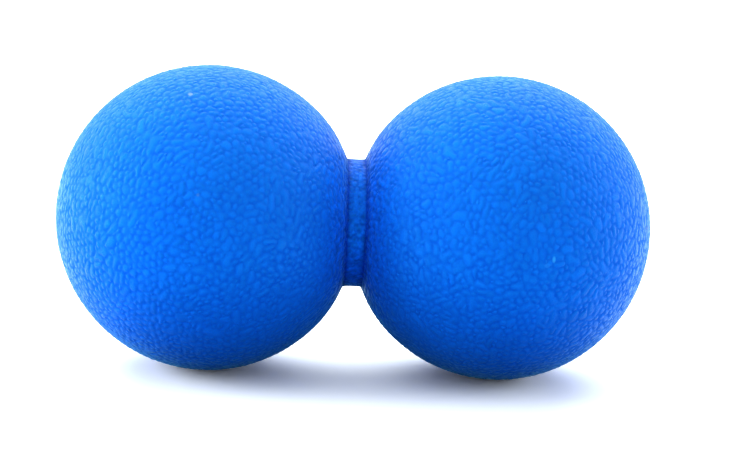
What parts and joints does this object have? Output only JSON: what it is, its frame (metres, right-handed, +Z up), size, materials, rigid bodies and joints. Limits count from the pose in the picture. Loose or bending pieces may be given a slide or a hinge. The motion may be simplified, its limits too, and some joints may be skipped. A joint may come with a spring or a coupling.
{
  "type": "peanut massage ball",
  "caption": "Solid rubber massage roller in a peanut shape: a ball at each end of a short neck, with a groove between them that clears the spine.",
  "frame": {"origin": "middle of the neck, on the long axis", "axes": "+X along the long axis, towards the ball that has the gate mark at its end; +Z up"},
  "size_m": [0.123, 0.063, 0.063],
  "materials": {
    "blue_rubber": "satin, moulded with a fine pebbled grain"
  },
  "bodies": {
    "root": {"peanut_ball": "blue_rubber"}
  },
  "joints": []
}
